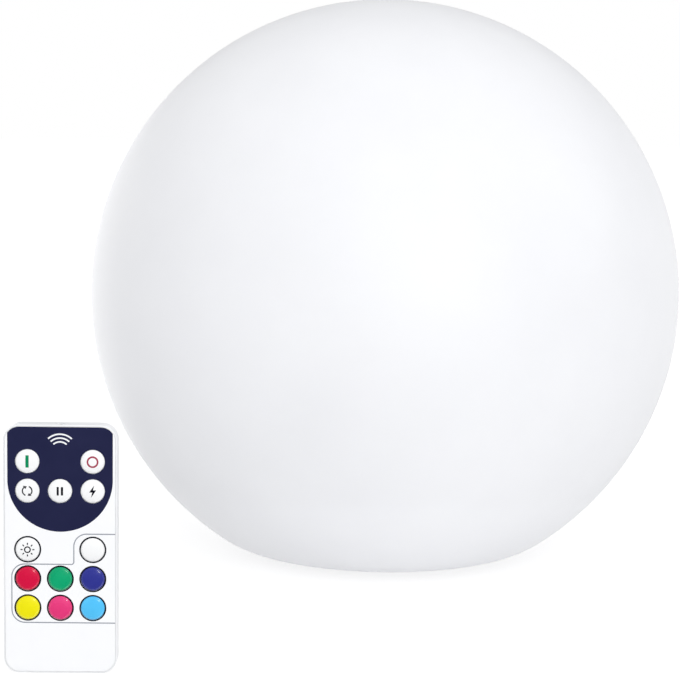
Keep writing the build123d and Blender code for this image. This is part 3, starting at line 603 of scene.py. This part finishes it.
def key_finish(name, tone, second_tone):
    """A key's own colour under a clear gloss."""
    return plastic(
        name, tone, second_tone, (0.24, 0.3), grain=420, wave=110, relief=0.004,
        Specular_IOR_Level=0.2, Coat_Weight=0.9, Coat_Roughness=0.07,
    )


key_white = key_finish("key_white", colour(249, 250, 251), colour(252, 253, 254))
panel_keys = ("key_on", "key_off", "key_cycle", "key_pause", "key_flash")
for name in (*panel_keys, "key_dim", "key_white"):
    key_cap(name, key_white, "key_white")
key_colours = {
    "key_red": (colour(213, 6, 62), colour(220, 12, 70)),
    "key_green": (colour(0, 162, 108), colour(4, 172, 116)),
    "key_blue": (colour(45, 50, 142), colour(52, 58, 152)),
    "key_yellow": (colour(240, 231, 0), colour(246, 238, 6)),
    "key_pink": (colour(230, 54, 122), colour(237, 64, 132)),
    "key_sky": (colour(82, 195, 250), colour(92, 203, 255)),
}
for name, tones in key_colours.items():
    key_cap(name, key_finish(name, *tones), name)


# The remote's front shell is the satin white half that frames the face, with a shallow recess for the film.
# It is moulded in the same ABS as the rear shell, and meets it at a fine line round the case.
dress(case_white, "front_shell")


# The face film is a polyester sheet, printed on its front and glued into the recess, with holes for the keys.
# Its gloss is soft, and it lies a hair below the rim of the shell.
film_white = plastic(
    "film_white", colour(248, 249, 252), colour(250, 251, 253), (0.3, 0.36),
    grain=300, wave=60, relief=0.004, Specular_IOR_Level=0.3,
)
dress(film_white, "face_film")


# The dark panel behind the upper keys is printed on the film in navy ink, hundredths of a millimetre thick.
# It follows the case's upper corners and ends in a half round below, with a hole for each of its five keys.
film_low, film_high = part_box("face_film")
case_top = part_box("front_shell")[1].z
film_middle = (film_low.x + film_high.x) / 2
ink = 0.02 * MM
print_edge = 0.1 * MM
film_corner = 4.9 * MM
film_corner_segments = 10
key_hole = 4.15 * MM
key_hole_sides = 72
panel_half = 17.75 * MM
panel_low = 36.55 * MM
panel_round = 0.9999 * panel_half  # a hair short of half the width, so that the two rounds don't meet
panel_round_segments = 40


def on_film(x, below):
    """A point of the film's face: across from its middle, and down from the case's top, both in metres."""
    return Vector((film_middle + x, film_low.y, case_top - below))


def round_key(name):
    """Lays what is drawn flat upright in the film's face, about a key's middle."""
    middle = key_middle(name)
    middle.y = film_low.y
    return Matrix.Translation(middle) @ Matrix.Rotation(math.pi / 2, 4, "X")


def outline_face(bm, *corners):
    """A flat face from its corners, in order."""
    return bm.faces.new([bm.verts.new(corner) for corner in corners])


def cut_off(bm, point, normal):
    """Cuts off what lies beyond a plane."""
    bmesh.ops.bisect_plane(
        bm, geom=bm.verts[:] + bm.edges[:] + bm.faces[:], dist=0, plane_co=point, plane_no=normal,
        clear_outer=True,
    )


def raise_ink(bm):
    """Gives flat ink its thickness, out from the film."""
    raised = bmesh.ops.extrude_face_region(bm, geom=bm.faces[:])["geom"]
    front = [v for v in raised if isinstance(v, bmesh.types.BMVert)]
    bmesh.ops.translate(bm, vec=(0, -ink, 0), verts=front)
    bmesh.ops.recalc_face_normals(bm, faces=bm.faces[:])


def ink_finish(name, tone, second_tone):
    """Printing ink, with a soft gloss."""
    return plastic(
        name, tone, second_tone, (0.34, 0.42), grain=900, wave=80, relief=0.003, Specular_IOR_Level=0.15
    )


film_half = (film_high.x - film_low.x) / 2 - print_edge
panel_drop = case_top - film_high.z + print_edge
panel = bmesh.new()
sheet = outline_face(
    panel,
    on_film(-film_half, panel_drop),
    on_film(film_half, panel_drop),
    on_film(film_half, panel_low),
    on_film(-film_half, panel_low),
)
ease(panel, list(sheet.verts)[:2], film_corner - print_edge, film_corner_segments)
for side in (-1, 1):
    cut_off(panel, on_film(side * panel_half, 0), (side, 0, 0))
panel_foot = min(v.co.z for v in panel.verts)
low_corners = [v for v in panel.verts if v.co.z - panel_foot < print_edge]
ease(panel, low_corners, panel_round, panel_round_segments)
bmesh.ops.delete(panel, geom=panel.faces[:], context="FACES_ONLY")
for name in panel_keys:
    bmesh.ops.create_circle(panel, segments=key_hole_sides, radius=key_hole, matrix=round_key(name))
bmesh.ops.triangle_fill(panel, use_beauty=True, normal=(0, -1, 0), edges=panel.edges[:])
raise_ink(panel)
navy_ink = ink_finish("navy_ink", colour(31, 34, 69), colour(34, 37, 73))
piece("film_panel", panel, navy_ink, "remote", "film")


# The sender's mark at the top of the panel is three arcs in white ink, printed over the navy.
# It shows the end of the case that the emitter points out of.
wave_below = 9.0 * MM
wave_line = 0.52 * MM
wave_radii = (5.85 * MM, 4.55 * MM, 3.25 * MM)
wave_half_angle = math.radians(43)
wave_steps = 24


def arc_stroke(bm, centre, radius, line, start, sweep, steps):
    """Part of a flat ring, from a start angle, measured from upright and clockwise as seen."""
    ends = [bm.verts.new(centre + Vector((0, 0, radius + side * line / 2))) for side in (-1, 1)]
    stroke = ends + [bm.edges.new(ends)]
    bmesh.ops.rotate(bm, cent=centre, matrix=Matrix.Rotation(start, 3, "Y"), verts=ends)
    bmesh.ops.spin(
        bm, geom=stroke, cent=centre, axis=across, dvec=(0, 0, 0), angle=sweep, steps=steps,
        use_merge=sweep == math.tau,
    )


waves = bmesh.new()
wave_centre = on_film(0, wave_below) - Vector((0, ink, 0))
for wave_radius in wave_radii:
    arc_stroke(waves, wave_centre, wave_radius, wave_line, -wave_half_angle, 2 * wave_half_angle, wave_steps)
raise_ink(waves)
white_ink = ink_finish("white_ink", colour(240, 242, 246), colour(244, 246, 249))
piece("film_wave_mark", waves, white_ink, "remote", "film")


# A fine grey line, printed on the film, gathers the colour keys and the white key in one field.
# It is open at the film's right edge, and steps down round the dimming key.
field_line = 0.38 * MM
field_top = 37.1 * MM
field_step = 47.6 * MM
field_low = 68.2 * MM
field_left = -16.6 * MM
field_inner = 4.4 * MM
field_right = film_high.x - film_middle - print_edge
field_beyond = field_right + 2 * field_line
field_rounds = (4.6 * MM, 4.5 * MM, 0.7 * MM, 4.5 * MM)
field_round_segments = 10
field = bmesh.new()
field_face = outline_face(
    field,
    on_film(field_beyond, field_top),
    on_film(field_beyond, field_low),
    on_film(field_left, field_low),
    on_film(field_left, field_step),
    on_film(field_inner, field_step),
    on_film(field_inner, field_top),
)
for corner, corner_round in zip(list(field_face.verts)[2:], field_rounds):
    ease(field, [corner], corner_round, field_round_segments)
bmesh.ops.inset_region(
    field, faces=field.faces[:], thickness=field_line, use_boundary=True, use_even_offset=True
)
inside = max(field.faces, key=lambda face: face.calc_area())
bmesh.ops.delete(field, geom=[inside], context="FACES_ONLY")
cut_off(field, on_film(field_right, 0), (1, 0, 0))
raise_ink(field)
grey_ink = ink_finish("grey_ink", colour(148, 153, 163), colour(156, 160, 169))
piece("film_field_line", field, grey_ink, "remote", "film")


# A dark ring is printed round each key on the white part of the film.
# It runs from the key's hole outwards, and makes the key's edge stand out.
ring_outer = 4.58 * MM
rings = bmesh.new()
for name in ("key_dim", "key_white", *key_colours):
    edges = []
    for radius in (key_hole, ring_outer):
        loop = bmesh.ops.create_circle(rings, segments=key_hole_sides, radius=radius, matrix=round_key(name))
        edges += list({e for v in loop["verts"] for e in v.link_edges})
    bmesh.ops.bridge_loops(rings, edges=edges)
raise_ink(rings)
dark_ink = ink_finish("dark_ink", colour(10, 11, 24), colour(15, 16, 30))
piece("film_key_rings", rings, dark_ink, "remote", "film")


# The keys' own marks are printed on their crowns, and the ink follows the crown.
# They are a bar for on, a ring for off, and plain pictograms in dark ink for the rest:
# turning arrows for cycling, two bars for pausing, a bolt for flashing and a sun for dimming.
def on_key(name):
    """Gives a function from a point of a key's face, across and up in millimetres, to its place."""
    middle = key_middle(name)
    return lambda x, z: middle + Vector((x * MM, 0, z * MM))


def bar_mark(bm, at, width, height, x=0.0, z=0.0, corner=0.15):
    """An upright bar with eased corners, in millimetres."""
    corner_segments = 3
    half, rise = width / 2, height / 2
    face = outline_face(
        bm, at(x - half, z - rise), at(x + half, z - rise), at(x + half, z + rise), at(x - half, z + rise)
    )
    ease(bm, list(face.verts), corner * MM, corner_segments)


def arc_mark(bm, at, radius, line, steps, start=0.0, sweep=360.0):
    """A ring or a part of one, in millimetres and degrees."""
    arc_stroke(bm, at(0, 0), radius * MM, line * MM, math.radians(start), math.radians(sweep), steps)


def print_mark(bm, name, material):
    """Cuts a flat mark fine, lays it on its key's crown and gives it the ink's thickness."""
    cut_step = 0.4 * MM
    cut_weld = 0.0001 * MM
    middle = key_middle(name)
    reach = int(key_radius / cut_step)
    for normal in ((1, 0, 0), (0, 0, 1)):
        for place in range(-reach, reach + 1):
            bmesh.ops.bisect_plane(
                bm, geom=bm.verts[:] + bm.edges[:] + bm.faces[:], dist=cut_weld,
                plane_co=middle + Vector(normal) * place * cut_step, plane_no=normal,
            )
    raise_ink(bm)
    for vert in bm.verts:
        out = (vert.co.x - middle.x) ** 2 + (vert.co.z - middle.z) ** 2
        vert.co.y += key_sphere - math.sqrt(key_sphere**2 - out)
    piece(name + "_mark", bm, material, name + "_body", "key_white")


on_width, on_height = 1.1, 4.2
on_mark = bmesh.new()
bar_mark(on_mark, on_key("key_on"), on_width, on_height)
print_mark(on_mark, "key_on", ink_finish("green_ink", colour(0, 136, 86), colour(6, 144, 94)))

off_radius, off_line, off_steps = 1.7, 0.58, 64
off_mark = bmesh.new()
arc_mark(off_mark, on_key("key_off"), off_radius, off_line, off_steps)
print_mark(off_mark, "key_off", ink_finish("red_ink", colour(160, 56, 80), colour(168, 64, 88)))

cycle_radius, cycle_line, cycle_steps = 1.6, 0.42, 24
cycle_starts, cycle_sweep = (20, 200), 118
head_gap, head_length = 1, 37
head_inner, head_outer = 0.9, 2.3
cycle_mark = bmesh.new()
at_cycle = on_key("key_cycle")
for start in cycle_starts:
    arc_mark(cycle_mark, at_cycle, cycle_radius, cycle_line, cycle_steps, start, cycle_sweep)
    head = math.radians(start + cycle_sweep + head_gap)
    tip = math.radians(start + cycle_sweep + head_gap + head_length)
    outline_face(
        cycle_mark,
        at_cycle(head_outer * math.sin(head), head_outer * math.cos(head)),
        at_cycle(head_inner * math.sin(head), head_inner * math.cos(head)),
        at_cycle(cycle_radius * math.sin(tip), cycle_radius * math.cos(tip)),
    )
print_mark(cycle_mark, "key_cycle", dark_ink)

pause_width, pause_height, pause_offset = 0.72, 2.9, 0.72
pause_mark = bmesh.new()
for x in (-pause_offset, pause_offset):
    bar_mark(pause_mark, on_key("key_pause"), pause_width, pause_height, x)
print_mark(pause_mark, "key_pause", dark_ink)

bolt = ((0.55, 2.1), (-1.15, -0.3), (-0.1, -0.3), (-0.5, -2.1), (1.2, 0.45), (0.12, 0.45))
flash_mark = bmesh.new()
at_flash = on_key("key_flash")
outline_face(flash_mark, *(at_flash(x, z) for x, z in bolt))
print_mark(flash_mark, "key_flash", dark_ink)

sun_radius, sun_line, sun_steps = 0.95, 0.42, 48
ray_count, ray_width, ray_length, ray_middle, ray_corner = 8, 0.38, 0.75, 2.0, 0.1
dim_mark = bmesh.new()
at_dim = on_key("key_dim")
arc_mark(dim_mark, at_dim, sun_radius, sun_line, sun_steps)
for ray in range(ray_count):
    turn_to = Matrix.Rotation(math.tau * ray / ray_count, 3, "Y")
    first = len(dim_mark.verts)
    bar_mark(dim_mark, at_dim, ray_width, ray_length, 0.0, ray_middle, ray_corner)
    dim_mark.verts.ensure_lookup_table()
    bmesh.ops.rotate(dim_mark, cent=at_dim(0, 0), matrix=turn_to, verts=dim_mark.verts[first:])
print_mark(dim_mark, "key_dim", dark_ink)


# The studio has a white table top that keeps the set's soft shadow, a soft box beside the camera and one
# above it, a rim lamp behind at each side and two weak lamps below.
# A white surround gives more light from the front, and mirrors dark there and dim above.
table_drop = 0.05 * MM
table_radius = 6.0
table_sides = 96
table_grey = 0.42
table_glow = 0.14
table_glow_seen = 0.7
table_mesh = bmesh.new()
bmesh.ops.create_circle(
    table_mesh, cap_ends=True, segments=table_sides, radius=table_radius,
    matrix=Matrix.Translation((0, 0, -table_drop)),
)
table_data = bpy.data.meshes.new("table_top")
table_mesh.to_mesh(table_data)
table_mesh.free()
table = bpy.data.objects.new("table_top", table_data)
bpy.context.scene.collection.objects.link(table)

table_white, nodes, links, shader = new_finish("table_white")
nodes.remove(shader)
matt = nodes.new("ShaderNodeBsdfDiffuse")
matt.inputs["Color"].default_value = (table_grey, table_grey, table_grey, 1)
glow = nodes.new("ShaderNodeEmission")
path = nodes.new("ShaderNodeLightPath")
seen_glow = spread(nodes, links, path.outputs["Is Camera Ray"], (0.0, 1.0), (table_glow, table_glow_seen))
links.new(seen_glow, glow.inputs["Strength"])
lit = nodes.new("ShaderNodeAddShader")
links.new(matt.outputs["BSDF"], lit.inputs[0])
links.new(glow.outputs["Emission"], lit.inputs[1])
clear = nodes.new("ShaderNodeBsdfTransparent")
under = nodes.new("ShaderNodeNewGeometry").outputs["Backfacing"]
unseen = reckon(nodes, links, "MAXIMUM", path.outputs["Is Shadow Ray"], path.outputs["Is Glossy Ray"])
shown = nodes.new("ShaderNodeMixShader")
links.new(reckon(nodes, links, "MAXIMUM", under, unseen), shown.inputs["Fac"])
links.new(lit.outputs["Shader"], shown.inputs[1])
links.new(clear.outputs["BSDF"], shown.inputs[2])
links.new(shown.outputs["Shader"], nodes["Material Output"].inputs["Surface"])
table_data.materials.append(table_white)

surround_level = 0.872
surround_lean = (0.034, -0.272, 0.0)
mirror_front = 0.05
mirror_behind = 1.0
mirror_above = 0.48
front_band = (-0.8, -0.2)
above_band = (-0.04, 0.2)
world = bpy.data.worlds.new("surround")
world.use_nodes = True
bpy.context.scene.world = world
nodes, links = world.node_tree.nodes, world.node_tree.links
surround = nodes["Background"]
surround.inputs["Color"].default_value = (1, 1, 1, 1)
path = nodes.new("ShaderNodeLightPath")
heading = nodes.new("ShaderNodeTexCoord").outputs["Generated"]
split = nodes.new("ShaderNodeSeparateXYZ")
links.new(heading, split.inputs["Vector"])
mirrored = spread(nodes, links, split.outputs["Y"], front_band, (mirror_front, mirror_behind))
overhead = spread(nodes, links, split.outputs["Z"], above_band, (1.0, mirror_above))
lean = nodes.new("ShaderNodeVectorMath")
lean.operation = "DOT_PRODUCT"
lean.inputs[1].default_value = surround_lean
links.new(heading, lean.inputs[0])
lighting = nodes.new("ShaderNodeMix")
links.new(path.outputs["Is Glossy Ray"], lighting.inputs["Factor"])
links.new(reckon(nodes, links, "ADD", lean.outputs["Value"], surround_level), lighting.inputs["A"])
links.new(reckon(nodes, links, "MULTIPLY", mirrored, overhead), lighting.inputs["B"])
seen = reckon(nodes, links, "MAXIMUM", path.outputs["Is Camera Ray"], path.outputs["Is Transmission Ray"])
strength = reckon(nodes, links, "MAXIMUM", seen, lighting.outputs["Result"])
links.new(strength, surround.inputs["Strength"])


def soft_lamp(name, place, size, watts):
    """A square soft box that looks at the globe's middle."""
    lamp = bpy.data.lights.new(name, "AREA")
    lamp.shape = "SQUARE"
    lamp.size = size
    lamp.energy = watts
    holder = bpy.data.objects.new(name, lamp)
    holder.location = place
    holder.rotation_euler = (Vector(ball_centre) - Vector(place)).to_track_quat("-Z", "Y").to_euler()
    bpy.context.scene.collection.objects.link(holder)


soft_lamp("front_lamp", (0.3, -1.6, 0.4), 0.3, 2.6)
soft_lamp("high_lamp", (0.32, -1.4, 0.75), 0.6, 2.5)
soft_lamp("left_rim_lamp", (-0.8, 1.2, 0.05), 0.9, 3.7)
soft_lamp("right_rim_lamp", (0.9, 1.1, 0.24), 0.8, 0.9)
soft_lamp("under_lamp", (0, -0.1, -0.9), 0.9, 1.8)
soft_lamp("under_right_lamp", (0.5, -0.6, -0.8), 0.9, 2.0)


# The camera stands nine tenths of a metre in front, a little above the globe's middle, looking slightly down.
# Its place, its turns and its lens are those that lay the ball and the remote where the photograph has them.
camera_place = Vector((-30.9 * MM, -913.7 * MM, 201.9 * MM))
camera_yaw = 0.01325
camera_pitch = 0.1206
camera_roll = 0.0134
photo_width = 680
focal_pixels = 2138.1
ahead = Matrix.Rotation(-camera_yaw, 3, "Z") @ Vector((0, math.cos(camera_pitch), -math.sin(camera_pitch)))
level_right = Vector((math.cos(camera_yaw), -math.sin(camera_yaw), 0))
level_up = level_right.cross(ahead)
right = level_right * math.cos(camera_roll) + level_up * math.sin(camera_roll)
up = level_up * math.cos(camera_roll) - level_right * math.sin(camera_roll)
lens = bpy.data.cameras.new("camera")
lens.sensor_width = 36.0
lens.lens = focal_pixels * lens.sensor_width / photo_width
lens.clip_start = 0.01
lens.clip_end = 50.0
camera = bpy.data.objects.new("camera", lens)
bpy.context.scene.collection.objects.link(camera)
stand = Matrix((right, up, -ahead)).transposed().to_4x4()
camera.matrix_world = Matrix.Translation(camera_place) @ stand
bpy.context.scene.camera = camera
bpy.context.scene.view_settings.view_transform = "Standard"
